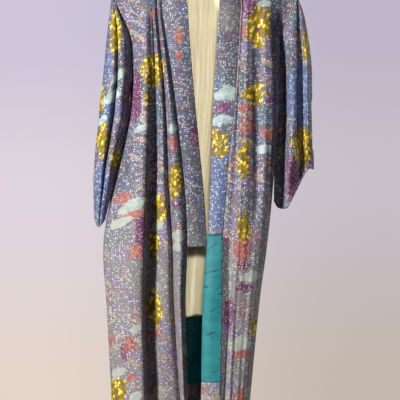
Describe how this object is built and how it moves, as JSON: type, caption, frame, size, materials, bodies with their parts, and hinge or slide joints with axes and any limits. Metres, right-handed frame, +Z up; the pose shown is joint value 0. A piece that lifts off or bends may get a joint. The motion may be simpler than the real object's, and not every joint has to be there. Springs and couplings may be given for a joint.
{
  "type": "kimono robe on a hanger",
  "caption": "Lined silk kimono robe with small dotted print, hanging open on a plain wooden hanger with a steel hook, front edge turned back to show the lining.",
  "frame": {"origin": "inside of the hook at its top, where the hook rests on a rail", "axes": "+X towards the wearer's left, +Y towards the wearer's back, +Z up"},
  "size_m": [0.6449, 0.1805, 1.5301],
  "materials": {
    "silk_print": "soft satin silk with a small dotted print",
    "cream_lining": "crinkled matt silk",
    "teal_lining": "soft satin silk",
    "hanger_wood": "clear satin varnish",
    "hook_steel": "polished wire"
  },
  "bodies": {
    "root": {"front_right": "silk_print", "back_right": "silk_print", "overlap_right": "silk_print", "front_left": "silk_print", "back_left": "silk_print", "overlap_left": "silk_print", "sleeve_right": "silk_print", "sleeve_left": "silk_print", "collar": "silk_print", "lining_upper": "cream_lining", "lining_lower": "teal_lining", "hem_facing": "silk_print", "flap_lining": "teal_lining", "flap_facing": "silk_print", "hanger_arms": "hanger_wood", "hanger_hook": "hook_steel"}
  },
  "joints": []
}
